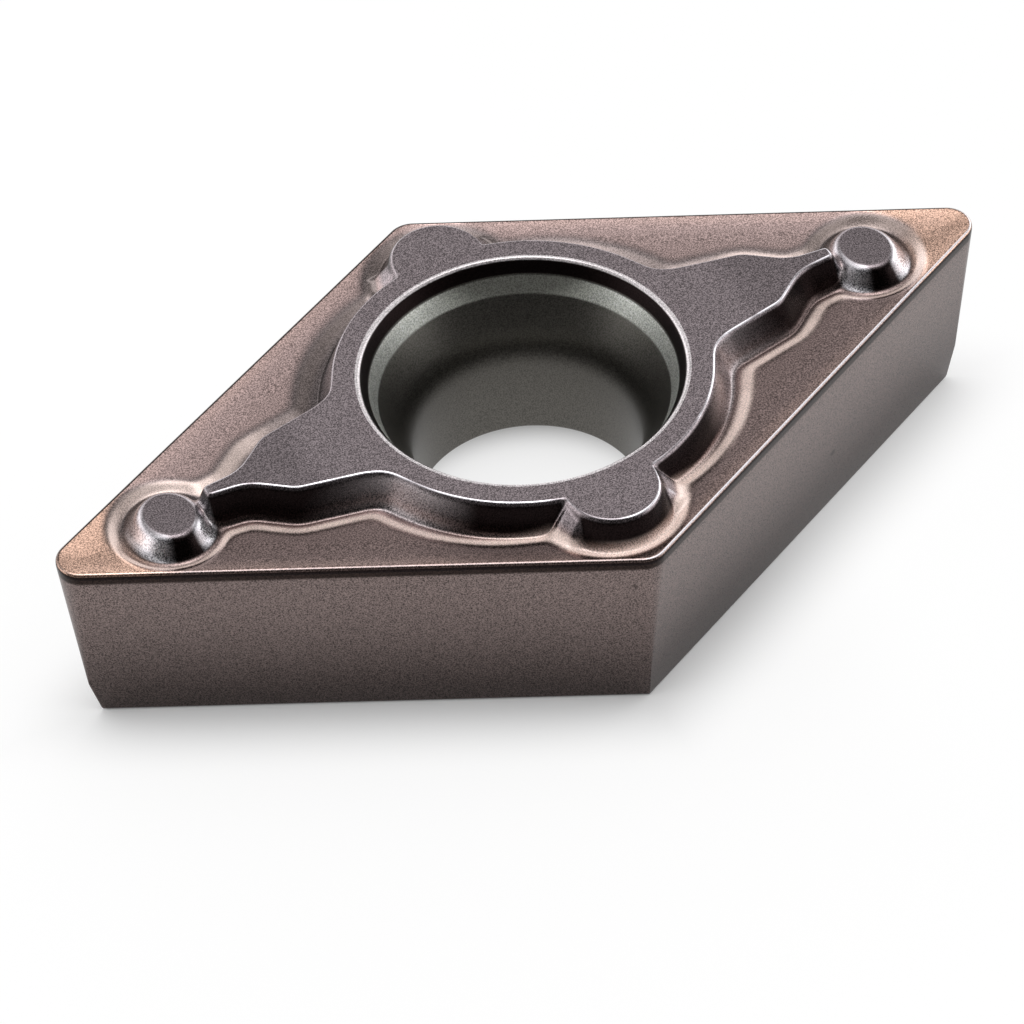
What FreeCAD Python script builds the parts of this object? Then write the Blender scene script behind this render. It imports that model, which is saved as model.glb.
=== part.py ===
import FreeCAD, Part
import math
import os

# Carbide turning insert: a 55 degree rhombus with 7 degree clearance, pressed
# and sintered in one piece and held by a screw through its middle.
# Millimetres. The seat lies on z = 0, the hole's axis is Z, and X runs along
# the long diagonal. The top is the same on both sides of both diagonals.

# Rhombus at the cutting edge
inscribed_circle = 9.525
acute_angle = 55.0
edge_height = 4.10
clearance_angle = 7.0
nose_radius = 0.52
nose_run_out = 0.80
seat_corner_radius = 0.03
seat_break = 0.08

# Rounded cutting edge and the rake face that falls away behind it
hone_width = 0.07
hone_drop = 0.12
rake_width = 0.28
rake_angle = 13.0

# Plateau that bends the chip, and the groove round it
plateau_rise = 0.46
plateau_slope = 69.0
plateau_break = 0.05
groove_depth = 0.22
groove_slope = 40.0
groove_width = 0.60

# Collar of the plateau round the hole, and the pair of round grooves beside it
collar_width = 0.495
collar_groove_radius = 3.93
collar_groove_shift = 0.41

# Arms of the plateau, from the collar to the dots: half widths, the places of
# the shoulder and the waist as shares of the arm's length, and corner radii
arm_root_width = 2.00
arm_foot_width = 1.12
arm_foot_inset = 0.08
arm_foot_radius = 1.20
shoulder_width = 0.79
shoulder_place = 0.51
shoulder_radius = 0.60
waist_width = 0.205
waist_place = 0.75
waist_radius = 1.00
arm_tip_width = 0.135
arm_tip_radius = 0.10
arm_tip_gap = 0.24

# Lobes of the plateau in the obtuse corners
lobe_radius = 0.89
lobe_setback = 0.82
lobe_groove_radius = 1.43
lobe_groove_shift = 0.16

# Low oval dots in the acute corners, longer across the insert than along it,
# each in a round groove
dot_radius = 0.53
dot_stretch = 0.10
dot_setback = 2.92
dot_drop = 0.24
dot_slope = 55.0
dot_groove_radius = 1.14
dot_groove_slope = 50.0

# Ramps from the sides of the lobes out to the groove's rim
ramp_width = 0.44
ramp_shift = 0.30
ramp_angle = 20.0
ramp_length = 0.42
ramp_drop = 0.04
ramp_slope = 55.0

# Screw hole, from the mouth down
bore_radius = 2.20
mouth_radius = 3.07
mouth_bevel = 0.065
mouth_depth = 0.28
mouth_foot_radius = 2.95
lead_in_radius = 2.78
lead_in_depth = 0.64
seat_cone_depth = 1.55
flare_radius = 3.20
flare_height = 0.95

half_angle = math.radians(acute_angle / 2)
half_long = inscribed_circle / 2 / math.sin(half_angle)
half_short = inscribed_circle / 2 / math.cos(half_angle)
clearance = math.tan(math.radians(clearance_angle))
rake_depth = rake_width * math.tan(math.radians(rake_angle))
plateau_height = edge_height + plateau_rise
groove_rim = edge_height - rake_depth
groove_floor = edge_height - groove_depth
boss_foot = groove_floor - groove_depth
pit_top = edge_height + plateau_break
dot_top = plateau_height - dot_drop
collar_radius = mouth_radius + mouth_bevel + collar_width
dot_place = half_long - dot_setback
lobe_place = half_short - lobe_setback - lobe_radius
lobe_groove_place = lobe_place - lobe_groove_shift


def run(rise, slope):
    """Level distance that a wall of this slope takes for this rise."""
    return rise / math.tan(math.radians(slope))


def rounded_loop(corners, radii, height, grow=0.0):
    """Level outline, counter-clockwise, with every side moved out by grow."""
    points = [FreeCAD.Vector(x, y, height) for x, y in corners]
    count = len(points)
    ways = [(points[(i + 1) % count] - points[i]).normalize() for i in range(count)]
    moved = []
    for i in range(count):
        before = FreeCAD.Vector(ways[i - 1].y, -ways[i - 1].x, 0)
        after = FreeCAD.Vector(ways[i].y, -ways[i].x, 0)
        moved.append(points[i] + (before + after) * (grow / (1 + before.dot(after))))
    arcs = []
    for i in range(count):
        coming = ways[i - 1]
        going = ways[i]
        convex = coming.cross(going).z > 0
        half_turn = coming.getAngle(going) / 2
        shortest = min((moved[i] - moved[i - 1]).Length, (moved[(i + 1) % count] - moved[i]).Length)
        radius = radii[i] + grow if convex else radii[i] - grow
        radius = min(radius, 0.48 * shortest / math.tan(half_turn))
        reach = radius * math.tan(half_turn)
        sag = radius * (1 / math.cos(half_turn) - 1)
        start = moved[i] - coming * reach
        middle = moved[i] + (going - coming).normalize() * sag
        end = moved[i] + going * reach
        arcs.append((start, middle, end))
    edges = []
    for i in range(count):
        start, middle, end = arcs[i]
        edges.append(Part.LineSegment(arcs[i - 1][2], start).toShape())
        edges.append(Part.Arc(start, middle, end).toShape())
    return Part.Wire(edges)


def ruled(loops):
    """Solid ruled from one level loop to the next, with its flat walls as true planes."""
    faces = [Part.Face(loops[0]), Part.Face(loops[-1])]
    for wall in Part.makeLoft(loops, False, True).Faces:
        if wall.findPlane():
            corners = [vertex.Point for vertex in wall.OuterWire.OrderedVertexes]
            wall = Part.Face(Part.makePolygon(corners + corners[:1]))
        faces.append(wall)
    shell = Part.makeShell(faces)
    shell.sewShape()
    return Part.makeSolid(shell)


def turned(profile, x=0.0, y=0.0):
    """Solid of revolution about the upright axis at x, y from radius, height points."""
    points = [FreeCAD.Vector(x + radius, y, height) for radius, height in profile]
    face = Part.Face(Part.makePolygon(points + points[:1]))
    return face.revolve(FreeCAD.Vector(x, y, 0), FreeCAD.Vector(0, 0, 1), 360)


def rhombus_loop(height, inset, radius):
    corners = [(half_long, 0), (0, half_short), (-half_long, 0), (0, -half_short)]
    return rounded_loop(corners, [radius + inset] * 4, height, -inset)


def blank():
    """Clearance faces, rounded cutting edge and rake faces down to the groove's rim."""
    below_hone = clearance * hone_drop
    rake_end = hone_width + rake_width
    sections = [
        (0, clearance * edge_height + seat_break, seat_corner_radius),
        (seat_break, clearance * (edge_height - seat_break), seat_corner_radius),
        (nose_run_out, clearance * (edge_height - nose_run_out), seat_corner_radius),
        (edge_height - hone_drop, below_hone, nose_radius - below_hone),
        (edge_height, hone_width, nose_radius - hone_width),
        (groove_rim, rake_end, max(nose_radius - rake_end, seat_corner_radius)),
    ]
    return ruled([rhombus_loop(*section) for section in sections])


def arm_corners(side):
    """Right or left arm: corners and radii, counter-clockwise."""
    foot = collar_radius - arm_foot_inset
    tip = dot_place - dot_radius - arm_tip_gap
    length = tip - foot
    upper = [
        (tip, arm_tip_width, arm_tip_radius),
        (foot + waist_place * length, waist_width, waist_radius),
        (foot + shoulder_place * length, shoulder_width, shoulder_radius),
        (foot, arm_foot_width, arm_foot_radius),
        (mouth_radius - collar_width / 2, arm_root_width, arm_tip_radius),
    ]
    lower = [(x, -y, radius) for x, y, radius in reversed(upper)]
    loop = upper + lower
    return [(side * x, side * y) for x, y, _ in loop], [radius for _, _, radius in loop]


def arm_boss(side):
    corners, radii = arm_corners(side)
    foot_grow = run(plateau_height - boss_foot, plateau_slope)
    levels = [
        (boss_foot, foot_grow),
        (plateau_height - plateau_break, run(plateau_break, plateau_slope)),
        (plateau_height, -plateau_break),
    ]
    return ruled([rounded_loop(corners, radii, z, grow) for z, grow in levels])


def arm_groove(side):
    corners, radii = arm_corners(side)
    levels = [
        (groove_floor, groove_width - run(groove_rim - groove_floor, groove_slope)),
        (pit_top, groove_width + run(pit_top - groove_rim, groove_slope)),
    ]
    return ruled([rounded_loop(corners, radii, z, grow) for z, grow in levels])


def round_boss(radius, y=0.0):
    foot_radius = radius + run(plateau_height - boss_foot, plateau_slope)
    break_radius = radius + run(plateau_break, plateau_slope)
    profile = [
        (0, boss_foot),
        (foot_radius, boss_foot),
        (break_radius, plateau_height - plateau_break),
        (radius - plateau_break, plateau_height),
        (0, plateau_height),
    ]
    return turned(profile, 0, y)


def dot(x):
    levels = [
        (boss_foot, run(dot_top - boss_foot, dot_slope)),
        (dot_top - plateau_break, run(plateau_break, dot_slope)),
        (dot_top, -plateau_break),
    ]
    loops = []
    for height, grow in levels:
        centre = FreeCAD.Vector(x, 0, height)
        across = centre + FreeCAD.Vector(0, dot_radius + dot_stretch + grow, 0)
        along = centre + FreeCAD.Vector(dot_radius + grow, 0, 0)
        loops.append(Part.Wire(Part.Ellipse(across, along, centre).toShape()))
    return ruled(loops)


def round_groove(rim_radius, slope, x=0.0, y=0.0):
    floor_radius = rim_radius - run(groove_rim - groove_floor, slope)
    top_radius = rim_radius + run(pit_top - groove_rim, slope)
    profile = [(0, groove_floor), (floor_radius, groove_floor), (top_radius, pit_top), (0, pit_top)]
    return turned(profile, x, y)


def ramp(side_x, side_y):
    """Ridge that falls from the side of a lobe to the groove's rim."""
    corner_place = math.sqrt(collar_radius ** 2 - lobe_radius ** 2)
    root = FreeCAD.Vector(lobe_radius, corner_place + ramp_shift, 0)
    way = FreeCAD.Vector(math.cos(math.radians(ramp_angle)), math.sin(math.radians(ramp_angle)), 0)
    across = FreeCAD.Vector(-way.y, way.x, 0)
    ends = [
        (root - way * ramp_drop, plateau_height - ramp_drop),
        (root + way * ramp_length, groove_rim),
    ]
    loops = []
    for place, crest in ends:
        foot = ramp_width / 2 + run(crest - boss_foot, ramp_slope)
        ring = [(-foot, boss_foot), (foot, boss_foot), (ramp_width / 2, crest), (-ramp_width / 2, crest)]
        points = [place + across * offset + FreeCAD.Vector(0, 0, height) for offset, height in ring]
        points = [FreeCAD.Vector(side_x * p.x, side_y * p.y, p.z) for p in points]
        loops.append(Part.makePolygon(points + points[:1]))
    return ruled(loops)


def screw_hole():
    """Steep mouth, lead-in, cone for the screw head, bore and a flare at the seat."""
    above = plateau_height + plateau_break
    flare_spread = (flare_radius - bore_radius) / flare_height
    profile = [
        (0, -plateau_break),
        (flare_radius + flare_spread * plateau_break, -plateau_break),
        (bore_radius, flare_height),
        (bore_radius, plateau_height - seat_cone_depth),
        (lead_in_radius, plateau_height - lead_in_depth),
        (mouth_foot_radius, plateau_height - mouth_depth),
        (mouth_radius, plateau_height - mouth_bevel),
        (mouth_radius + mouth_bevel + plateau_break, above),
        (0, above),
    ]
    return turned(profile)


def carbide_insert():
    grooves = []
    bosses = [round_boss(collar_radius)]
    for side in (1, -1):
        grooves.append(round_groove(collar_groove_radius, groove_slope, side * collar_groove_shift))
        grooves.append(arm_groove(side))
        bosses.append(arm_boss(side))
        grooves.append(round_groove(dot_groove_radius, dot_groove_slope, side * dot_place))
        bosses.append(dot(side * dot_place))
        grooves.append(round_groove(lobe_groove_radius, groove_slope, 0, side * lobe_groove_place))
        bosses.append(round_boss(lobe_radius, side * lobe_place))
    ramps = [ramp(side_x, side_y) for side_x in (1, -1) for side_y in (1, -1)]
    body = blank().cut(grooves[0].fuse(grooves[1:]))
    body = body.fuse(ramps + bosses)
    return body.cut(screw_hole()).removeSplitter()


shape = carbide_insert()
os.makedirs("parts", exist_ok=True)
shape.exportStep("parts/carbide_insert.step")
print("solids", len(shape.Solids), "valid", shape.isValid(), "volume", round(shape.Volume, 3))
print("box", shape.BoundBox)
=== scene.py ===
import math

import bpy
import numpy as np
from mathutils import Matrix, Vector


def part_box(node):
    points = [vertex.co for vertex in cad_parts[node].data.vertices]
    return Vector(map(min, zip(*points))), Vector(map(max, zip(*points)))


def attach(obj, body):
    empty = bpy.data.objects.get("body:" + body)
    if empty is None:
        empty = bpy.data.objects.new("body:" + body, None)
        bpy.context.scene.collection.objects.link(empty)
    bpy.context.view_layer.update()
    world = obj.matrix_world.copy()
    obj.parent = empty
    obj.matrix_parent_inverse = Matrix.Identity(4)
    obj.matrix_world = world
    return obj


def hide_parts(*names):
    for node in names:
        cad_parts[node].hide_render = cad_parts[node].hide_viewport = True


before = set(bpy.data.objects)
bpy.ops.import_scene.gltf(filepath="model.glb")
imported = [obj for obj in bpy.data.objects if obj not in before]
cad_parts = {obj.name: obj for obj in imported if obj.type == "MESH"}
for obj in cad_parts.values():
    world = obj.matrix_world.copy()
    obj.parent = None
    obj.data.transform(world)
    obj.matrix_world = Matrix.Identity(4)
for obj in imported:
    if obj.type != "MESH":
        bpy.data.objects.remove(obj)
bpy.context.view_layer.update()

# The insert is one piece of cemented carbide: tungsten carbide powder pressed in
# a die and sintered. The die forms the chip breaker on top, a plateau with a
# groove round it. Both diagonals mirror it, so one quarter is drawn, in mm.
mm = 0.001
plateau_rise = 0.46
plateau_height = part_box("carbide_insert")[1][2] / mm
edge_height = plateau_height - plateau_rise
inscribed_circle = 9.525
half_angle = math.radians(27.5)
edge_turn = math.pi / 2 - half_angle
half_long = inscribed_circle / 2 / math.sin(half_angle)
half_short = inscribed_circle / 2 / math.cos(half_angle)
clearance = math.tan(math.radians(7))
nose_radius = 0.52

rake_start = 0.07
rake_fall = 0.085
rake_reach = 0.45
groove_rim_depth = 0.065
groove_rim = edge_height - groove_rim_depth
groove_depth = 0.22
groove_floor = edge_height - groove_depth
groove_wall_slope = math.tan(math.radians(40))
groove_width = 0.60
collar_radius = 3.63
collar_groove_radius = 3.93
collar_groove_shift = 0.41
plateau_slope = math.tan(math.radians(69))

dot_from_corner = 2.92
dot_place = half_long - dot_from_corner
dot_radius = 0.53
dot_stretch = 0.10
dot_half_length = dot_radius + dot_stretch
dot_drop = 0.24
dot_height = plateau_height - dot_drop
dot_slope = math.tan(math.radians(55))
dot_groove_radius = 1.14
dot_groove_slope = math.tan(math.radians(50))

arm_gap = 0.24
arm_tip = dot_place - dot_radius - arm_gap
arm_tip_half_width = 0.135
arm_corners = [
    (2.82, 2.00),
    (3.55, 1.12),
    (5.12, 0.79),
    (5.86, 0.205),
    (arm_tip, arm_tip_half_width),
    (arm_tip, -arm_tip_half_width),
]
arm_radii = [1.20, 0.60, 1.00, 0.10]

lobe_from_corner = 0.82
lobe_radius = 0.89
lobe_place = half_short - lobe_from_corner - lobe_radius
lobe_groove_shift = 0.16
lobe_groove_place = lobe_place - lobe_groove_shift
lobe_groove_radius = 1.43

# A ramp's top and end are distances along it from its root, and heights
ramp_shift = 0.30
ramp_root = (lobe_radius, math.sqrt(collar_radius ** 2 - lobe_radius ** 2) + ramp_shift)
ramp_drop = 0.04
ramp_top = (-0.04, plateau_height - ramp_drop)
ramp_end = (0.42, groove_rim)
ramp_angle = math.radians(20)
ramp_half_width = 0.22
ramp_slope = math.tan(math.radians(55))

# How softly the forms run into each other, in mm
crown_break = 0.13
foot_blend = 0.20
saddle_blend = 0.30
ramp_blend = 0.10
ramp_side_blend = 0.08
trough_blend = 0.16
rim_blend = 0.14
outline_blend = 0.12


def soft_min(first, second, blend):
    overlap = np.maximum(blend - np.abs(first - second), 0) / blend
    return np.minimum(first, second) - overlap ** 2 * blend / 4


def soft_max(first, second, blend):
    return -soft_min(-first, -second, blend)


# A round takes up at most this share of the shorter side beside its corner
round_share = 0.48


def rounded_chain(corners, radii, steps=10):
    """Open outline from the first corner to the last, rounded at every corner between them."""
    corners = np.array(corners)
    points = [corners[0]]
    for i, radius in enumerate(radii):
        before, corner, after = corners[i:i + 3]
        coming = (corner - before) / np.linalg.norm(corner - before)
        going = (after - corner) / np.linalg.norm(after - corner)
        turn = math.acos(coming @ going)
        shortest = min(np.linalg.norm(corner - before), np.linalg.norm(after - corner))
        reach = min(radius * math.tan(turn / 2), round_share * shortest)
        for share in np.linspace(0, 1, steps):
            on_first = corner - coming * reach * (1 - share)
            on_second = corner + going * reach * share
            points.append(on_first * (1 - share) + on_second * share)
    points.append(corners[-1])
    return np.array(points)


arm_outline = rounded_chain(arm_corners, arm_radii)


def arm_distance(x, y):
    """Distance outwards from the arm's outline; negative inside the arm."""
    nearest = np.full(x.shape, np.inf)
    for start, end in zip(arm_outline[:-1], arm_outline[1:]):
        way = end - start
        share = ((x - start[0]) * way[0] + (y - start[1]) * way[1]) / (way @ way)
        share = np.clip(share, 0, 1)
        apart_x = x - start[0] - share * way[0]
        apart_y = y - start[1] - share * way[1]
        nearest = np.minimum(nearest, np.hypot(apart_x, apart_y))
    side = np.interp(x, arm_outline[:-1, 0], arm_outline[:-1, 1])
    inside = (y < side) & (x < arm_tip)
    return np.where(inside, -nearest, nearest)


def plateau_distance(x, y):
    """Distance outwards from the plateau's outline: collar, arm and lobe in one."""
    collar = np.hypot(x, y) - collar_radius
    lobe = np.hypot(x, y - lobe_place) - lobe_radius
    return soft_min(soft_min(collar, arm_distance(x, y), outline_blend), lobe, outline_blend)


def dot_distance(x, y):
    """Distance outwards from the oval dot's outline."""
    reach = np.maximum(np.hypot(x - dot_place, y), 1e-9)
    across = np.hypot(dot_half_length * (x - dot_place) / reach, dot_radius * y / reach)
    return reach - dot_radius * dot_half_length / across


def edge_centres(inset, radius):
    """Middle of the nose's arc and of the obtuse corner's arc, for an outline this far inside."""
    nose = half_long - (inset + radius) / math.sin(half_angle)
    corner = half_short - (inset + radius) / math.cos(half_angle)
    return nose, corner


def edge_distance(x, y):
    """Distance inwards from the sharp outline that the cutting edge would have."""
    nose, corner = edge_centres(0, nose_radius)
    straight = inscribed_circle / 2 - x * math.sin(half_angle) - y * math.cos(half_angle)
    at_nose = (x > nose) & (y < (x - nose) * math.tan(edge_turn))
    at_corner = (y > corner) & (x * math.tan(edge_turn) < y - corner)
    inner = np.where(at_nose, nose_radius - np.hypot(x - nose, y), straight)
    return np.where(at_corner, nose_radius - np.hypot(x, y - corner), inner)


def groove_wall(x, y):
    """Height of the grooves' outer wall over their rim; negative inside the grooves."""
    grooves = [
        (np.hypot(x - collar_groove_shift, y) - collar_groove_radius) * groove_wall_slope,
        (arm_distance(x, y) - groove_width) * groove_wall_slope,
        (np.hypot(x - dot_place, y) - dot_groove_radius) * dot_groove_slope,
        (np.hypot(x, y - lobe_groove_place) - lobe_groove_radius) * groove_wall_slope,
    ]
    pit = grooves[0]
    for groove in grooves[1:]:
        pit = soft_min(pit, groove, outline_blend)
    return pit


def ramp_height(x, y):
    """Height of the ramp that runs out beside the lobe."""
    east = x - ramp_root[0]
    north = y - ramp_root[1]
    along = east * math.cos(ramp_angle) + north * math.sin(ramp_angle)
    aside = np.abs(north * math.cos(ramp_angle) - east * math.sin(ramp_angle))
    fall = (ramp_end[1] - ramp_top[1]) / (ramp_end[0] - ramp_top[0])
    crest = ramp_top[1] + (along - ramp_top[0]) * fall
    return crest - soft_max(aside - ramp_half_width, 0, ramp_side_blend) * ramp_slope


def relief(x, y):
    """Height of the pressed top, inside the honed edge."""
    wall = plateau_height - plateau_distance(x, y) * plateau_slope
    plateau = soft_min(wall, plateau_height, crown_break)
    dot = soft_min(dot_height - dot_distance(x, y) * dot_slope, dot_height, crown_break)
    raised = soft_max(soft_max(plateau, dot, saddle_blend), ramp_height(x, y), ramp_blend)
    pit = soft_max(groove_rim + groove_wall(x, y), groove_floor, trough_blend)
    from_edge = edge_distance(x, y) - rake_start
    rake = edge_height - rake_fall * (1 - np.exp(-from_edge / rake_reach))
    ground = soft_min(rake, pit, rim_blend)
    return np.minimum(soft_max(ground, raised, foot_blend), plateau_height)


form_step = 0.02


def form(x, y):
    """Steepness of the relief, and how sharply it is rounded outwards, per mm."""
    here = relief(x, y)
    east, west = relief(x + form_step, y), relief(np.abs(x - form_step), y)
    north, south = relief(x, y + form_step), relief(x, np.abs(y - form_step))
    steepness = np.hypot(east - west, north - south) / (2 * form_step)
    return steepness, (4 * here - east - west - north - south) / form_step ** 2


def dot_light_and_shade(x, y):
    """Shares of painted highlight on the dot's wall where it looks along the insert, and of painted shade
    where it looks across it.
    """
    near = np.interp(dot_distance(x, y), [-0.20, -0.12, 0.28, 0.42], [0, 1, 1, 0])
    near = near * np.interp(x, [arm_tip, arm_tip + 0.1], [0, 1])
    along = np.abs(x - dot_place) / np.maximum(np.hypot(x - dot_place, y), 1e-9)
    light = np.interp(along, [0.30, 0.65, 0.90, 1.0], [0, 0.8, 0.6, 0.25])
    dark = np.interp(along, [0.30, 0.65], [1, 0])
    return near * light, near * dark


def open_corner(x, y):
    """Share of painted highlight on the wall where the collar opens into the arm, by its turn round the
    hole.
    """
    turn = np.degrees(np.arctan2(y, x))
    return 0.8 * np.interp(turn, [10, 22, 34, 50], [0, 1, 1, 0]) ** 1.6


# Stations where a path that crosses the groove leaves the plateau and meets the
# cutting edge: point on the plateau's outline, share of the edge, paths to the next.
# The edge counts 0 to 1 round the nose, to 2 along the side, to 3 round the corner.
stations = [
    ((arm_tip, 0.00), 0.00, 20),
    ((arm_tip, 0.05), 1.00, 40),
    ((arm_tip - 0.10, 0.15), 1.22, 16),
    ((5.86, 0.25), 1.313, 24),
    ((5.10, 0.76), 1.43, 24),
    ((3.55, 1.18), 1.50, 14),
    ((3.12, 1.86), 1.537, 16),
    ((2.57, 2.57), 1.644, 16),
    ((1.82, 3.14), 1.768, 14),
    ((0.92, 3.51), 1.854, 5),
    ((0.89, 3.70), 1.867, 11),
    ((0.64, 4.28), 1.923, 12),
    ((0.20, 4.53), 2.00, 8),
    ((0.00, lobe_place + lobe_radius), 3.00, 0),
]
place_easing = 24
share_easing = 12
outline_rays = 4000
outline_halvings = 40


def eased(values, times):
    """Values with their steps evened out over the neighbours; both ends stay."""
    for _ in range(times):
        inner = (values[:-2] + 2 * values[1:-1] + values[2:]) / 4
        values = np.concatenate([values[:1], inner, values[-1:]])
    return values


def plateau_outline():
    """Outline of the plateau from the long diagonal to the short one, found along rays."""
    angles = (math.pi / 2) * np.linspace(0, 1, outline_rays) ** 2
    near = np.full(angles.shape, collar_radius - 0.5)
    far = np.full(angles.shape, half_long)
    for _ in range(outline_halvings):
        middle = (near + far) / 2
        outside = plateau_distance(middle * np.cos(angles), middle * np.sin(angles)) > 0
        far = np.where(outside, middle, far)
        near = np.where(outside, near, middle)
    return np.stack([near * np.cos(angles), near * np.sin(angles)], 1)


def paths():
    """Where each path starts on the plateau's outline, and its share of the cutting edge."""
    outline = plateau_outline()
    lengths = np.concatenate([[0], np.cumsum(np.linalg.norm(np.diff(outline, axis=0), axis=1))])
    places = [lengths[np.argmin(np.linalg.norm(outline - point, axis=1))] for point, _, _ in stations]
    numbers = np.cumsum([0] + [count for _, _, count in stations[:-1]])
    every = np.arange(numbers[-1] + 1)
    place = eased(np.interp(every, numbers, places), place_easing)
    share = eased(np.interp(every, numbers, [share for _, share, _ in stations]), share_easing)
    starts = np.stack([np.interp(place, lengths, outline[:, axis]) for axis in (0, 1)], 1)
    return starts, share


def edge_points(share, inset, radius):
    """Points of the rounded rhombus: nose arc, straight edge, then the obtuse corner's arc."""
    turn = np.where(share < 1, share * edge_turn, edge_turn)
    turn = np.where(share > 2, edge_turn + (share - 2) * half_angle, turn)
    along = np.clip(share - 1, 0, 1)
    nose, corner = edge_centres(inset, radius)
    x = (1 - along) * nose + radius * np.cos(turn)
    y = along * corner + radius * np.sin(turn)
    return np.stack([x, y], 1)


# A path starts a little inside the plateau's outline. Its nodes are shared out by need,
# which counts one for each need_step in mm and one for each need_turn of the relief.
path_start = -0.08
crossing_nodes = 72
crossing_samples = 500
need_step = 0.09
need_turn = math.radians(7)
need_easing = 6
hone_start = 0.10


def node_need(starts, ends, along):
    """Need of each path up to each of its samples, evened out with its neighbours."""
    reach = np.linalg.norm(ends - starts, axis=1)[:, None]
    x = np.maximum(starts[:, :1] + along * (ends - starts)[:, :1], 0)
    y = np.maximum(starts[:, 1:] + along * (ends - starts)[:, 1:], 0)
    step = reach * np.diff(along, axis=1)
    rise = np.diff(relief(x, y), axis=1)
    length = np.hypot(step, rise)
    bend = np.abs(np.diff(np.arctan2(rise, step), axis=1))
    bend = np.pad(bend, ((0, 0), (1, 1)), mode="edge")
    need = length / need_step + (bend[:, 1:] + bend[:, :-1]) / 2 / need_turn
    for _ in range(need_easing):
        need = (np.roll(need, 1, 1) + 2 * need + np.roll(need, -1, 1)) / 4
    for _ in range(need_easing):
        padded = np.pad(need / need.sum(1, keepdims=True), ((1, 1), (0, 0)), mode="edge")
        need = (padded[:-2] + 2 * padded[1:-1] + padded[2:]) / 4
    return np.concatenate([np.zeros((len(need), 1)), np.cumsum(need, axis=1)], 1)


def crossings():
    """Nodes from the plateau to the honed edge, closer together where the relief bends."""
    starts, share = paths()
    ends = edge_points(share, hone_start, nose_radius - hone_start)
    first = path_start / np.linalg.norm(ends - starts, axis=1)[:, None]
    along = np.linspace(0, 1, crossing_samples)[None, :] * (1 - first) + first
    nodes = []
    for start, end, samples, need in zip(starts, ends, along, node_need(starts, ends, along)):
        wanted = np.linspace(0, need[-1], crossing_nodes)
        place = np.interp(wanted, need, samples)
        nodes.append(start + place[:, None] * (end - start))
    nodes = np.maximum(np.array(nodes), 0)
    nodes[0, :, 1] = 0
    nodes[-1, :, 0] = 0
    height = relief(nodes[..., 0], nodes[..., 1])
    height[:, 0] = plateau_height
    return np.concatenate([nodes, height[..., None]], 2), share


# The cutting edge is honed round, and the four flanks below it lean in at 7 degrees.
# The nose's radius runs out to a plain corner low on the flank.
hone_end = 0.13
hone_rings = 10
hone_pulls = (0.5, 0.7)
nose_run_out = 0.80
flank_rings = 8
seat_corner_radius = 0.03
seat_break = 0.08
seat_turns = (0, 30, 60, 90)


def hone_curve(first, last, sharp):
    """Points of the honed edge from the rake to the flank, pulled towards their sharp corner."""
    by_rake = first + (sharp - first) * hone_pulls[0]
    by_flank = last + (sharp - last) * hone_pulls[1]
    points = []
    for t in np.linspace(0, 1, hone_rings + 1)[1:]:
        point = (1 - t) ** 3 * first + 3 * (1 - t) ** 2 * t * by_rake
        point = point + 3 * (1 - t) * t ** 2 * by_flank + t ** 3 * last
        points.append(point)
    return points


def edge_profile():
    """Inset, height and corner radius of each ring from the honed edge down to the seat."""
    rake_slope = rake_fall / rake_reach
    hone_top = edge_height - rake_fall * (1 - math.exp(-(hone_start - rake_start) / rake_reach))
    sharp_inset = -rake_start * rake_slope / (1 / clearance - rake_slope)
    sharp = np.array([sharp_inset, edge_height - sharp_inset / clearance])
    first = np.array([hone_start, hone_top])
    last = np.array([clearance * hone_end, edge_height - hone_end])
    profile = []
    for point in hone_curve(first, last, sharp):
        inset = max(point[0], last[0])
        profile.append((inset, point[1], nose_radius - inset))
    top_radius = profile[-1][2]
    for height in np.linspace(last[1], nose_run_out, flank_rings + 1)[1:]:
        fade = (height - nose_run_out) / (last[1] - nose_run_out)
        radius = seat_corner_radius + (top_radius - seat_corner_radius) * fade
        profile.append((clearance * (edge_height - height), height, radius))
    foot = clearance * (edge_height - seat_break)
    for turn in np.radians(seat_turns):
        inset = foot + seat_break * (1 - math.cos(turn))
        profile.append((inset, seat_break * (1 - math.sin(turn)), seat_corner_radius))
    return profile


def below_edge(share):
    """Rings of the sheet from the honed edge down the flank to the seat."""
    rings = []
    for inset, height, radius in edge_profile():
        plan = edge_points(share, inset, radius)
        rings.append(np.column_stack([plan, np.full(len(plan), height)]))
    return np.stack(rings, 1)


# The screw hole is pressed in with the rest: a steep mouth, a conical band, the
# cone that the screw's head seats in, the bore, and a flare out to the seat.
mouth_radius = 3.07
mouth_bevel = 0.065
mouth_depth = 0.28
mouth_foot_radius = 2.95
lead_in_depth = 0.64
lead_in_radius = 2.78
seat_cone_depth = 1.55
bore_radius = 2.20
flare_radius = 3.20
flare_height = 0.95
hole_rim = 0.05
hole_corners = [
    (mouth_radius + mouth_bevel + hole_rim, plateau_height),
    (mouth_radius + mouth_bevel, plateau_height),
    (mouth_radius, plateau_height - mouth_bevel),
    (mouth_foot_radius, plateau_height - mouth_depth),
    (lead_in_radius, plateau_height - lead_in_depth),
    (bore_radius, plateau_height - seat_cone_depth),
    (bore_radius, flare_height),
    (flare_radius, 0),
    (flare_radius + hole_rim, 0),
]
hole_breaks = [0.05, 0.05, 0.10, 0.20, 1.60, 0.10, 0.05]
hole_break_steps = 5
hole_steps = 72


def hole_wall():
    """Points of the hole's wall, from the flat round its mouth to the flat round its foot."""
    profile = rounded_chain(hole_corners, hole_breaks, hole_break_steps)
    turn = np.linspace(0, math.pi / 2, hole_steps + 1)[:, None]
    radius, height = profile[:, 0], profile[:, 1]
    return np.stack([radius * np.cos(turn), radius * np.sin(turn), height + 0 * turn], 2)


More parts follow.
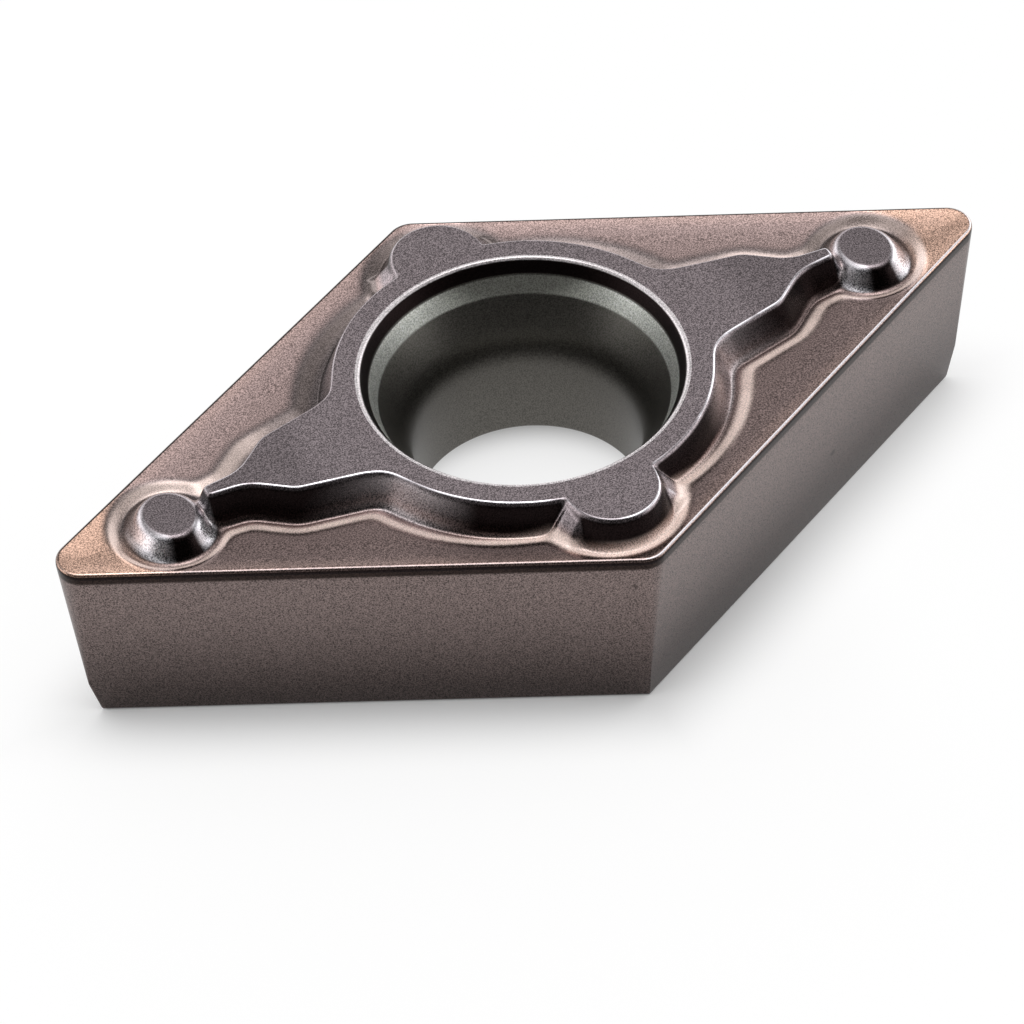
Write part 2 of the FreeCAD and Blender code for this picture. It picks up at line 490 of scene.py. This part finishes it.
def grid_faces(first, rows, columns, inwards=False):
    faces = []
    for row in range(rows - 1):
        for column in range(columns - 1):
            corner = first + row * columns + column
            face = [corner, corner + 1, corner + columns + 1, corner + columns]
            faces.append(face[::-1] if inwards else face)
    return faces


def flat_strip(inner, outer, points, inwards=False):
    """Triangles between two rings that lie in one plane, from the long diagonal to the short one."""
    turn = np.arctan2(points[:, 1], points[:, 0])
    faces = []
    near = far = 0
    while near < len(inner) - 1 or far < len(outer) - 1:
        step_out = near == len(inner) - 1
        if far < len(outer) - 1 and not step_out:
            step_out = turn[outer[far + 1]] < turn[inner[near + 1]]
        if step_out:
            face = [inner[near], outer[far], outer[far + 1]]
            far += 1
        else:
            face = [inner[near], outer[far], inner[near + 1]]
            near += 1
        faces.append(face[::-1] if inwards else face)
    return faces


# The three coated surfaces, each with its own finish
top_zone, flank_zone, hole_zone = range(3)


def quarter_faces(sheet_shape, wall_shape, points):
    """Faces of the pressed sheet, the hole's wall and the flat rings between them, with their zones."""
    rows, columns = sheet_shape
    wall_rows, wall_columns = wall_shape
    wall_start = rows * columns
    on_sheet = grid_faces(0, rows, columns)
    on_wall = grid_faces(wall_start, wall_rows, wall_columns, inwards=True)
    on_plateau = flat_strip(
        [wall_start + row * wall_columns for row in range(wall_rows)],
        [row * columns for row in range(rows)],
        points,
    )
    on_seat = flat_strip(
        [wall_start + (row + 1) * wall_columns - 1 for row in range(wall_rows)],
        [(row + 1) * columns - 1 for row in range(rows)],
        points,
        inwards=True,
    )
    zones = []
    for number in range(len(on_sheet)):
        below = number % (columns - 1) >= crossing_nodes + hone_rings - 1
        zones.append(flank_zone if below else top_zone)
    zones += [hole_zone] * len(on_wall) + [top_zone] * len(on_plateau) + [flank_zone] * len(on_seat)
    return on_sheet + on_wall + on_plateau + on_seat, zones


def mark(mesh, name, values, kind="FLOAT", domain="POINT"):
    """Keeps a value on each point or face, for the finishes to read."""
    mesh.attributes.new(name, kind, domain).data.foreach_set("value", values)


flank_steepness = 3
hone_bend = 8


def sheet_marks(crossing):
    """Marks of the sheet: their values on the pressed top, on the honed edge and on the flank."""
    x, y = crossing[..., 0], crossing[..., 1]
    steepness, bend = form(x, y)
    dot_highlight, dot_shade = dot_light_and_shade(x, y)
    return {
        "steepness": (steepness, flank_steepness * np.linspace(0, 1, hone_rings), flank_steepness),
        "bend": (bend, hone_bend, 0),
        "from_rim": (groove_wall(x, y), 1, 1),
        "dot_highlight": (dot_highlight, 0, 0),
        "dot_shade": (dot_shade, 0, 0),
        "corner_highlight": (open_corner(x, y), 0, 0),
    }


def quarter_mesh():
    """A quarter of the insert between its diagonals, open where the other quarters join it."""
    crossing, share = crossings()
    sheet = np.concatenate([crossing, below_edge(share)], 1)
    wall = hole_wall()
    points = np.concatenate([sheet.reshape(-1, 3), wall.reshape(-1, 3)])
    points[:, :2] = np.maximum(points[:, :2], 0)
    faces, zones = quarter_faces(sheet.shape[:2], wall.shape[:2], points)
    mesh = bpy.data.meshes.new("insert_quarter")
    mesh.from_pydata(points * mm, [], faces)
    mark(mesh, "zone", zones, "INT", "FACE")
    mark(mesh, "from_edge", np.maximum(edge_distance(points[:, 0], points[:, 1]), 0))
    rows, columns = sheet.shape[:2]
    for name, (on_top, on_hone, on_flank) in sheet_marks(crossing).items():
        values = np.zeros(len(points))
        on_sheet = values[:rows * columns].reshape(rows, columns)
        on_sheet[:, :crossing_nodes] = on_top
        on_sheet[:, crossing_nodes:crossing_nodes + hone_rings] = on_hone
        on_sheet[:, crossing_nodes + hone_rings:] = on_flank
        mark(mesh, name, values)
    return mesh


# A hard coating is grown on the sintered carbide in vacuum. It keeps the grain of the
# pressed powder, and its colour runs from purple grey on the plateau to brown on the
# rake and copper on the noses and along the cutting edge, where the film is thinner.
# A painted highlight makes the grooves' rims pale.
grain_height = 0.002 * mm
speck_scale = 38000
speck_detail = 3.0
patch_scale = 700
patch_detail = 4.0
patch_distortion = 0.6
fine_ratio = 2.6
fine_detail = 2.0
speck_part = 0.7
fine_part = 0.3
smoother = 0.06
rougher = 0.08


def shader_group(name, inputs, outputs):
    """Empty shader group with its inner input and output nodes."""
    group = bpy.data.node_groups.new(name, "ShaderNodeTree")
    for socket, kind in inputs.items():
        group.interface.new_socket(socket, in_out="INPUT", socket_type=kind)
    for socket, kind in outputs.items():
        group.interface.new_socket(socket, in_out="OUTPUT", socket_type=kind)
    return group, group.nodes.new("NodeGroupInput"), group.nodes.new("NodeGroupOutput")


def feed(tree, socket, value):
    """Puts a number, a colour or another node's output into a socket."""
    if isinstance(value, bpy.types.NodeSocket):
        tree.links.new(value, socket)
    else:
        socket.default_value = value


def noise(tree, vector, scale, detail, distortion=0.0):
    made = tree.nodes.new("ShaderNodeTexNoise")
    feed(tree, made.inputs["Vector"], vector)
    feed(tree, made.inputs["Scale"], scale)
    feed(tree, made.inputs["Detail"], detail)
    feed(tree, made.inputs["Distortion"], distortion)
    return made.outputs["Fac"]


def ranged(tree, value, low, high, to_low=0.0, to_high=1.0):
    """Value taken smoothly from one range to another."""
    made = tree.nodes.new("ShaderNodeMapRange")
    made.interpolation_type = "SMOOTHSTEP"
    for socket, number in zip(made.inputs[1:5], (low, high, to_low, to_high)):
        socket.default_value = number
    feed(tree, made.inputs["Value"], value)
    return made.outputs["Result"]


def falling(tree, value, low, high, share=1.0):
    """Share that falls to nothing as the value rises."""
    return ranged(tree, value, low, high, share, 0.0)


def worked(tree, operation, first, second):
    made = tree.nodes.new("ShaderNodeMath")
    made.operation = operation
    feed(tree, made.inputs[0], first)
    feed(tree, made.inputs[1], second)
    return made.outputs["Value"]


def product(tree, *shares):
    whole = shares[0]
    for share in shares[1:]:
        whole = worked(tree, "MULTIPLY", whole, share)
    return whole


def powder_grain():
    """Grain of the sintered powder under the coating: specks, broad patches and their height."""
    group, given, result = shader_group(
        "powder_grain",
        {"Vector": "NodeSocketVector", "Speck Scale": "NodeSocketFloat", "Patch Scale": "NodeSocketFloat"},
        {"Specks": "NodeSocketFloat", "Patches": "NodeSocketFloat", "Height": "NodeSocketFloat"},
    )
    vector = given.outputs["Vector"]
    scale = given.outputs["Speck Scale"]
    specks = noise(group, vector, scale, speck_detail)
    patches = noise(group, vector, given.outputs["Patch Scale"], patch_detail, patch_distortion)
    fine = noise(group, vector, product(group, scale, fine_ratio), fine_detail)
    height = worked(group, "ADD", product(group, specks, speck_part), product(group, fine, fine_part))
    for name, value in (("Specks", specks), ("Patches", patches), ("Height", height)):
        group.links.new(value, result.inputs[name])
    return group


grain_group = powder_grain()


def coated(name, roughness):
    """Start of a coated finish: its tree, its shader, the place on the piece and the grain."""
    material = bpy.data.materials.new(name)
    material.use_nodes = True
    tree = material.node_tree
    shader = tree.nodes["Principled BSDF"]
    place = tree.nodes.new("ShaderNodeTexCoord").outputs["Object"]
    grain = tree.nodes.new("ShaderNodeGroup")
    grain.node_tree = grain_group
    feed(tree, grain.inputs["Vector"], place)
    feed(tree, grain.inputs["Speck Scale"], speck_scale)
    feed(tree, grain.inputs["Patch Scale"], patch_scale)
    bump = tree.nodes.new("ShaderNodeBump")
    bump.inputs["Strength"].default_value = 1.0
    bump.inputs["Distance"].default_value = grain_height
    feed(tree, bump.inputs["Height"], grain.outputs["Height"])
    feed(tree, shader.inputs["Normal"], bump.outputs["Normal"])
    rough = ranged(tree, grain.outputs["Specks"], 0.3, 0.7, roughness - smoother, roughness + rougher)
    feed(tree, shader.inputs["Roughness"], rough)
    shader.inputs["Metallic"].default_value = 1.0
    return material, tree, shader, place, grain


def attribute(tree, name):
    made = tree.nodes.new("ShaderNodeAttribute")
    made.attribute_name = name
    return made.outputs["Fac"]


def mixed(tree, share, first, second):
    made = tree.nodes.new("ShaderNodeMix")
    made.data_type = "RGBA"
    first_colour, second_colour = [socket for socket in made.inputs if socket.type == "RGBA"]
    feed(tree, made.inputs["Factor"], share)
    feed(tree, first_colour, first)
    feed(tree, second_colour, second)
    return [socket for socket in made.outputs if socket.type == "RGBA"][0]


def scaled_colour(tree, colour, share):
    """Colour, named or from a node, made darker or lighter by a share."""
    made = tree.nodes.new("ShaderNodeVectorMath")
    made.operation = "SCALE"
    feed(tree, made.inputs[0], colour if isinstance(colour, bpy.types.NodeSocket) else colour[:3])
    feed(tree, made.inputs["Scale"], share)
    return made.outputs[0]


def speckled(tree, colour, grain, low, high):
    """Colour mottled by the grain's specks."""
    return scaled_colour(tree, colour, ranged(tree, grain.outputs["Specks"], 0.32, 0.68, low, high))


def height_above_seat(tree, place):
    apart = tree.nodes.new("ShaderNodeSeparateXYZ")
    feed(tree, apart.inputs[0], place)
    return apart.outputs["Z"]


def over_edge(tree, height, low, high, to_low=0.0, to_high=1.0):
    """Share that changes with the height over the cutting edge, in mm."""
    return ranged(tree, height, (edge_height + low) * mm, (edge_height + high) * mm, to_low, to_high)


def along_way(tree, place, way, low, high, to_low=0.0, to_high=1.0):
    """Share that changes along a level direction, between two distances from the middle in mm."""
    along = tree.nodes.new("ShaderNodeVectorMath")
    along.operation = "DOT_PRODUCT"
    feed(tree, along.inputs[0], place)
    feed(tree, along.inputs[1], way)
    return ranged(tree, along.outputs["Value"], low * mm, high * mm, to_low, to_high)


def from_middle(tree, place, low, high, to_low=0.0, to_high=1.0):
    """Share that changes with the distance from the middle of the seat, in mm."""
    reach = tree.nodes.new("ShaderNodeVectorMath")
    reach.operation = "LENGTH"
    feed(tree, reach.inputs[0], place)
    return ranged(tree, reach.outputs["Value"], low * mm, high * mm, to_low, to_high)


# On top, painted shade darkens the steep walls and the grooves' troughs. Painted highlights brighten
# crowns, rims and the cutting edge on the front half, towards negative y. At the back the crowns and
# rims get little painted highlight, and painted shade darkens the edge.
top_roughness = 0.27
plateau_colour = (0.225, 0.190, 0.200, 1)
rake_colour = (0.270, 0.200, 0.190, 1)
copper_colour = (0.60, 0.39, 0.30, 1)
# Painted shade for walls, troughs and the edge; painted highlights for the open corner, crowns and rims.
wall_shade_colour = (0.012, 0.008, 0.008, 1)
trough_shade_colour = (0.10, 0.085, 0.085, 1)
corner_highlight_colour = (0.50, 0.44, 0.45, 1)
highlight_colour = (0.95, 0.92, 0.97, 1)
rim_highlight_colour = (0.90, 0.72, 0.65, 1)
edge_shade_colour = (0.022, 0.014, 0.012, 1)
rim_metallic = 0.1
front_way = (0, -1, 0)
front_reach = 0.8
right_way = (1, 0, 0)
left_way = (-1, 0, 0)
top_marks = ("steepness", "bend", "from_rim", "corner_highlight", "dot_highlight", "dot_shade", "from_edge")


def film_colour(tree, place, marks):
    """The film's colours: rake, copper along the edge and on the noses, and the plateau, darker over the
    dots. Painted light and shade make the rake lighter at the back and darker in front.
    """
    colour = scaled_colour(tree, rake_colour, ranged(tree, marks["front"], 0.0, 1.0, 1.30, 0.82))
    copper = falling(tree, marks["from_edge"], 0.0, 0.45, 0.25)
    colour = mixed(tree, product(tree, copper, marks["patches"]), colour, copper_colour)
    uneven = ranged(tree, marks["patches"], 0.3, 0.6, 0.7, 1.0)
    at_nose = product(tree, from_middle(tree, place, 8.75, 9.5), uneven)
    colour = mixed(tree, at_nose, colour, copper_colour)
    plateau = scaled_colour(tree, plateau_colour, from_middle(tree, place, 6.3, 6.7, 1.0, 0.80))
    return mixed(tree, over_edge(tree, marks["height"], 0.02, 0.20), colour, plateau)


def shaded_walls(tree, colour, marks):
    """Colour with painted shade in the grooves at the back, the troughs in front and all steep walls, and
    a painted highlight on the wall at the open corner.
    """
    inside = falling(tree, marks["from_rim"], 0.04, 0.24, 0.95)
    inside = product(tree, inside, marks["back"], marks["edge_level"])
    colour = mixed(tree, inside, colour, trough_shade_colour)
    floor_level = over_edge(tree, marks["height"], -0.10, -0.02, 1.0, 0.0)
    trough = product(tree, falling(tree, marks["from_rim"], -0.32, -0.22), floor_level, marks["front"])
    dark = worked(tree, "MAXIMUM", trough, ranged(tree, marks["steepness"], 1.3, 2.1))
    colour = mixed(tree, dark, colour, wall_shade_colour)
    return mixed(tree, product(tree, dark, marks["corner_highlight"]), colour, corner_highlight_colour)


def dot_walls(tree, colour, marks):
    """Colour with painted shade on the dot's wall where it looks to the front, and a painted highlight on
    it to both sides.
    """
    dark = product(tree, marks["dot_shade"], ranged(tree, marks["steepness"], 0.4, 0.9), marks["front"])
    colour = mixed(tree, dark, colour, wall_shade_colour)
    light = product(tree, marks["dot_highlight"], ranged(tree, marks["steepness"], 0.5, 0.9), marks["front"])
    return mixed(tree, light, colour, highlight_colour)


def rim_highlight_share(tree, place, marks):
    """Share of painted highlight on the grooves' rims: most in front, less behind the dots."""
    leftwards = along_way(tree, place, left_way, -1, 1, 0.30, 0.60)
    near_nose = product(tree, from_middle(tree, place, 6.0, 7.0), leftwards)
    return product(
        tree,
        worked(tree, "MAXIMUM", ranged(tree, marks["front"], 0.0, 1.0, 0.10, 1.0), near_nose),
        marks["edge_level"],
        ranged(tree, marks["patches"], 0.35, 0.60, 0.80, 1.0),
        ranged(tree, marks["from_rim"], -0.24, -0.09),
        falling(tree, marks["from_rim"], -0.03, 0.11),
    )


def edge_lines(tree, place, colour, marks):
    """Colour with painted shade on the honed edge at the back and a painted highlight on it in front, most
    of all on the right.
    """
    on_edge = falling(tree, marks["from_edge"], 0.10, 0.14)
    on_edge = product(tree, on_edge, ranged(tree, marks["bend"], 5.0, 8.0))
    colour = mixed(tree, product(tree, on_edge, marks["back"]), colour, edge_shade_colour)
    bright = product(
        tree, on_edge, marks["front"],
        ranged(tree, marks["steepness"], 0.25, 0.5),
        falling(tree, marks["steepness"], 1.0, 1.4),
        along_way(tree, place, right_way, -0.3, 0.3, 0.12, 0.95),
    )
    return mixed(tree, bright, colour, highlight_colour)


def crown_highlight_share(tree, marks):
    """Share of painted highlight on the crowns of the plateau and the dots."""
    return product(
        tree,
        ranged(tree, marks["bend"], 3.0, 12.0),
        ranged(tree, marks["steepness"], 0.10, 0.35),
        falling(tree, marks["steepness"], 0.80, 1.30),
        over_edge(tree, marks["height"], 0.05, 0.15),
        ranged(tree, marks["patches"], 0.38, 0.58, 0.15, 1.0),
        ranged(tree, marks["front"], 0.0, 1.0, 0.10, 1.0),
        falling(tree, marks["dot_shade"], 0.0, 1.0),
    )


def top_finish():
    material, tree, shader, place, grain = coated("coated_top", top_roughness)
    marks = {name: attribute(tree, name) for name in top_marks}
    marks["patches"] = grain.outputs["Patches"]
    marks["height"] = height_above_seat(tree, place)
    marks["edge_level"] = over_edge(tree, marks["height"], 0.0, 0.1, 1.0, 0.0)
    marks["front"] = along_way(tree, place, front_way, -front_reach, front_reach)
    marks["back"] = falling(tree, marks["front"], 0.0, 1.0)
    colour = film_colour(tree, place, marks)
    colour = shaded_walls(tree, colour, marks)
    colour = dot_walls(tree, colour, marks)
    colour = speckled(tree, colour, grain, 0.50, 1.58)
    rim = rim_highlight_share(tree, place, marks)
    colour = mixed(tree, rim, colour, speckled(tree, rim_highlight_colour, grain, 0.85, 1.15))
    feed(tree, shader.inputs["Metallic"], ranged(tree, rim, 0.0, 1.0, 1.0, rim_metallic))
    colour = edge_lines(tree, place, colour, marks)
    colour = mixed(tree, crown_highlight_share(tree, marks), colour, highlight_colour)
    feed(tree, shader.inputs["Base Color"], colour)
    return material


# The flanks are plain faces under the same coating. Painted shade gives them a dark line under the
# honed edge and darkens them towards the seat, and they show a few small pits.
flank_roughness = 0.32
flank_colour = (0.155, 0.119, 0.112, 1)
pit_colour = (0.03, 0.022, 0.02, 1)
pit_scale = 520


def flank_finish():
    material, tree, shader, place, grain = coated("coated_flank", flank_roughness)
    height = height_above_seat(tree, place)
    # Painted shade: darker towards the seat, and a dark line under the honed edge.
    colour = scaled_colour(tree, flank_colour, ranged(tree, height, 0.2 * mm, 3.6 * mm, 0.42, 1.0))
    colour = mixed(tree, over_edge(tree, height, -0.30, -0.22), colour, edge_shade_colour)
    pits = tree.nodes.new("ShaderNodeTexVoronoi")
    feed(tree, pits.inputs["Vector"], place)
    feed(tree, pits.inputs["Scale"], pit_scale)
    colour = mixed(tree, falling(tree, pits.outputs["Distance"], 0.03, 0.055), colour, pit_colour)
    feed(tree, shader.inputs["Base Color"], speckled(tree, colour, grain, 0.35, 1.85))
    return material


# Little coating gets into the hole, so it is grey. Its bevel has a painted highlight, its steep mouth
# painted shade, and the band below that a pale painted reflection, duller towards the back.
hole_roughness = 0.36
hole_colour = (0.110, 0.104, 0.094, 1)
band_highlight_colour = (0.80, 0.82, 0.76, 1)
bevel_highlight_colour = (0.60, 0.56, 0.57, 1)
band_shade_way = (0.41, 0.91, 0)


def hole_finish():
    material, tree, shader, place, grain = coated("coated_hole", hole_roughness)
    height = height_above_seat(tree, place)
    band_foot = (plateau_height - lead_in_depth) * mm
    band_top = (plateau_height - mouth_depth) * mm
    bevel = ((plateau_height - 0.05) * mm, (plateau_height - 0.03) * mm)
    band = product(
        tree,
        ranged(tree, height, band_foot - 0.02 * mm, band_foot + 0.03 * mm),
        falling(tree, height, band_top - 0.03 * mm, band_top),
        along_way(tree, place, band_shade_way, 2.45, 2.80, 1.0, 0.30),
    )
    colour = mixed(tree, band, hole_colour, band_highlight_colour)
    over_band = ranged(tree, height, band_top, band_top + 0.03 * mm)
    steep = product(tree, over_band, falling(tree, height, *bevel))
    colour = mixed(tree, steep, colour, wall_shade_colour)
    colour = mixed(tree, ranged(tree, height, *bevel), colour, bevel_highlight_colour)
    feed(tree, shader.inputs["Base Color"], speckled(tree, colour, grain, 0.65, 1.35))
    return material


# The quarters of the die's form meet on the diagonals, and the insert is one closed
# shell. Geometry Nodes mirror the quarter, weld it and give each zone its finish.
weld_distance = 0.0001 * mm


def mirrored(tree, form, mirror):
    """The form joined with its mirror image, which is turned right side out."""
    other = tree.nodes.new("GeometryNodeTransform")
    other.inputs["Scale"].default_value = mirror
    tree.links.new(form, other.inputs["Geometry"])
    turned = tree.nodes.new("GeometryNodeFlipFaces")
    tree.links.new(other.outputs["Geometry"], turned.inputs["Mesh"])
    both = tree.nodes.new("GeometryNodeJoinGeometry")
    tree.links.new(form, both.inputs["Geometry"])
    tree.links.new(turned.outputs["Mesh"], both.inputs["Geometry"])
    return both.outputs["Geometry"]


def finished(tree, form, zone, number, material):
    """The form with one zone's finish on it."""
    here = tree.nodes.new("FunctionNodeCompare")
    here.data_type = "INT"
    here.operation = "EQUAL"
    compared, wanted = [socket for socket in here.inputs if socket.type == "INT"]
    tree.links.new(zone, compared)
    wanted.default_value = number
    finish = tree.nodes.new("GeometryNodeSetMaterial")
    finish.inputs["Material"].default_value = material
    tree.links.new(form, finish.inputs["Geometry"])
    tree.links.new(here.outputs["Result"], finish.inputs["Selection"])
    return finish.outputs["Geometry"]


def insert_tree(materials):
    """Geometry nodes from the quarter to the whole insert."""
    tree = bpy.data.node_groups.new("insert_from_quarter", "GeometryNodeTree")
    tree.interface.new_socket("Geometry", in_out="INPUT", socket_type="NodeSocketGeometry")
    tree.interface.new_socket("Weld Distance", in_out="INPUT", socket_type="NodeSocketFloat")
    tree.interface.new_socket("Geometry", in_out="OUTPUT", socket_type="NodeSocketGeometry")
    given = tree.nodes.new("NodeGroupInput")
    form = given.outputs["Geometry"]
    for mirror in ((1, -1, 1), (-1, 1, 1)):
        form = mirrored(tree, form, mirror)
    welded = tree.nodes.new("GeometryNodeMergeByDistance")
    tree.links.new(form, welded.inputs["Geometry"])
    tree.links.new(given.outputs["Weld Distance"], welded.inputs["Distance"])
    smooth = tree.nodes.new("GeometryNodeSetShadeSmooth")
    tree.links.new(welded.outputs["Geometry"], smooth.inputs["Geometry"])
    real = tree.nodes.new("GeometryNodeRealizeInstances")
    tree.links.new(smooth.outputs["Geometry"], real.inputs["Geometry"])
    form = real.outputs["Geometry"]
    zone = tree.nodes.new("GeometryNodeInputNamedAttribute")
    zone.data_type = "INT"
    zone.inputs["Name"].default_value = "zone"
    for number, material in materials.items():
        form = finished(tree, form, zone.outputs["Attribute"], number, material)
    tree.links.new(form, tree.nodes.new("NodeGroupOutput").inputs["Geometry"])
    return tree


insert = bpy.data.objects.new("insert", quarter_mesh())
bpy.context.scene.collection.objects.link(insert)
finishes = {top_zone: top_finish(), flank_zone: flank_finish(), hole_zone: hole_finish()}
whole_insert = insert.modifiers.new("whole", "NODES")
whole_insert.node_group = insert_tree(finishes)
sockets = whole_insert.node_group.interface.items_tree
weld = next(socket.identifier for socket in sockets if socket.name == "Weld Distance")
whole_insert[weld] = weld_distance
ready = insert.evaluated_get(bpy.context.evaluated_depsgraph_get())
mesh = bpy.data.meshes.new_from_object(ready)
insert.modifiers.clear()
insert.data = mesh
mesh.name = "insert"
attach(insert, "root")
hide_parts("carbide_insert")


# The insert lies on a large sheet of white paper. The camera, and what mirrors in the
# coating, see the paper lit evenly, except for a painted shadow round the insert's foot and painted light
# to the right and in the hole; the lamps cast the rest of its soft shadow.
sheet_size = 1.5
paper_colour = (0.93, 0.93, 0.93, 1)
contact_shadow_share = 0.14
even_share = 0.80
right_light_share = 0.18
hole_light_share = 0.80


def paper_light_share(tree):
    """Share of even light on the paper, which paints its shadow and light: least round the insert's foot,
    more to the right, and high in the hole.
    """
    place = tree.nodes.new("ShaderNodeTexCoord").outputs["Object"]
    in_hole = from_middle(tree, place, bore_radius + 0.2, flare_radius + 0.6, hole_light_share, 0.0)
    across = tree.nodes.new("ShaderNodeVectorMath")
    across.operation = "ABSOLUTE"
    feed(tree, across.inputs[0], place)
    side_way = (math.sin(half_angle), math.cos(half_angle), 0)
    foot = inscribed_circle / 2 - clearance * edge_height
    outside = along_way(
        tree, across.outputs[0], side_way, foot - 0.1, foot + 1.9, contact_shadow_share, even_share
    )
    on_right = along_way(tree, place, right_way, 2, 6, 0.0, right_light_share)
    return worked(tree, "MAXIMUM", in_hole, worked(tree, "ADD", outside, on_right))


def white_sheet():
    material = bpy.data.materials.new("white_sheet")
    material.use_nodes = True
    tree = material.node_tree
    paper = tree.nodes["Principled BSDF"]
    paper.inputs["Base Color"].default_value = paper_colour
    paper.inputs["Roughness"].default_value = 0.9
    paper.inputs["Specular IOR Level"].default_value = 0.1
    lit = tree.nodes.new("ShaderNodeEmission")
    lit.inputs["Color"].default_value = (1, 1, 1, 1)
    lit.inputs["Strength"].default_value = 1.0
    rays = tree.nodes.new("ShaderNodeLightPath").outputs
    seen = worked(tree, "MAXIMUM", rays["Is Camera Ray"], rays["Is Glossy Ray"])
    seen = worked(tree, "MAXIMUM", seen, rays["Is Transmission Ray"])
    both = tree.nodes.new("ShaderNodeMixShader")
    feed(tree, both.inputs[0], product(tree, seen, paper_light_share(tree)))
    tree.links.new(paper.outputs["BSDF"], both.inputs[1])
    tree.links.new(lit.outputs["Emission"], both.inputs[2])
    tree.links.new(both.outputs["Shader"], tree.nodes["Material Output"].inputs["Surface"])
    return material


sheet_mesh = bpy.data.meshes.new("sheet")
half = sheet_size / 2
sheet_corners = [(-half, -half, 0), (half, -half, 0), (half, half, 0), (-half, half, 0)]
sheet_mesh.from_pydata(sheet_corners, [], [(0, 1, 2, 3)])
sheet_mesh.materials.append(white_sheet())
sheet = bpy.data.objects.new("sheet", sheet_mesh)
bpy.context.scene.collection.objects.link(sheet)

# A softbox hangs overhead. The room is bright low down and high up, dimmer between,
# and dark on the camera's side.
softbox_size = 0.16
softbox_height = 0.30
softbox_radiance = 2.8
low_level = 2.4
middle_level = 0.45
high_level = 1.5
dark_side = 0.06
camera_turn = math.radians(-24.352)
towards_camera = (math.sin(camera_turn), -math.cos(camera_turn), 0)

lamp = bpy.data.lights.new("softbox", "AREA")
lamp.shape = "SQUARE"
lamp.size = softbox_size
lamp.energy = softbox_radiance * math.pi * softbox_size ** 2
softbox = bpy.data.objects.new("softbox", lamp)
softbox.location = (0, 0, softbox_height)
bpy.context.scene.collection.objects.link(softbox)


def rise_of(degrees):
    """How far a way of length one rises at this angle."""
    return math.sin(math.radians(degrees))


def room():
    world = bpy.data.worlds.new("room")
    world.use_nodes = True
    tree = world.node_tree
    way = tree.nodes.new("ShaderNodeTexCoord").outputs["Generated"]
    apart = tree.nodes.new("ShaderNodeSeparateXYZ")
    feed(tree, apart.inputs[0], way)
    rise = apart.outputs["Z"]
    low = falling(tree, rise, rise_of(14), rise_of(32), low_level - middle_level)
    high = ranged(tree, rise, rise_of(42), rise_of(60), middle_level, high_level)
    facing = tree.nodes.new("ShaderNodeVectorMath")
    facing.operation = "DOT_PRODUCT"
    feed(tree, facing.inputs[0], way)
    feed(tree, facing.inputs[1], towards_camera)
    kept = ranged(tree, facing.outputs["Value"], 0.20, 0.55, 1.0, dark_side)
    light = product(tree, worked(tree, "ADD", low, high), kept)
    seen = tree.nodes.new("ShaderNodeLightPath").outputs["Is Camera Ray"]
    feed(tree, tree.nodes["Background"].inputs["Color"], worked(tree, "MAXIMUM", light, seen))
    return world


bpy.context.scene.world = room()

# The camera stands at the photograph's place, with its long lens. It looks down at
# the insert from the front and left, and is rolled a little.
elevation = math.radians(44.552)
roll = math.radians(-3.804)
camera_reach = 0.120509
aim = np.array([-0.000022, 0.000886, 0])
focal_pixels = 6184.465
picture_width = 1024
sensor_width = 36.0
nearest_seen = 0.01
back = np.array([
    math.sin(camera_turn) * math.cos(elevation),
    -math.cos(camera_turn) * math.cos(elevation),
    math.sin(elevation),
])
right = np.cross([0, 0, 1], back)
right /= np.linalg.norm(right)
up = np.cross(back, right)
rolled_right = math.cos(roll) * right + math.sin(roll) * up
rolled_up = math.cos(roll) * up - math.sin(roll) * right
lens = bpy.data.cameras.new("camera")
lens.sensor_width = sensor_width
lens.lens = focal_pixels / picture_width * sensor_width
lens.clip_start = nearest_seen
camera = bpy.data.objects.new("camera", lens)
turned = Matrix(np.stack([rolled_right, rolled_up, back], 1).tolist()).to_4x4()
camera.matrix_world = Matrix.Translation((aim + back * camera_reach).tolist()) @ turned
bpy.context.scene.collection.objects.link(camera)
bpy.context.scene.camera = camera
bpy.context.scene.view_settings.view_transform = "Standard"
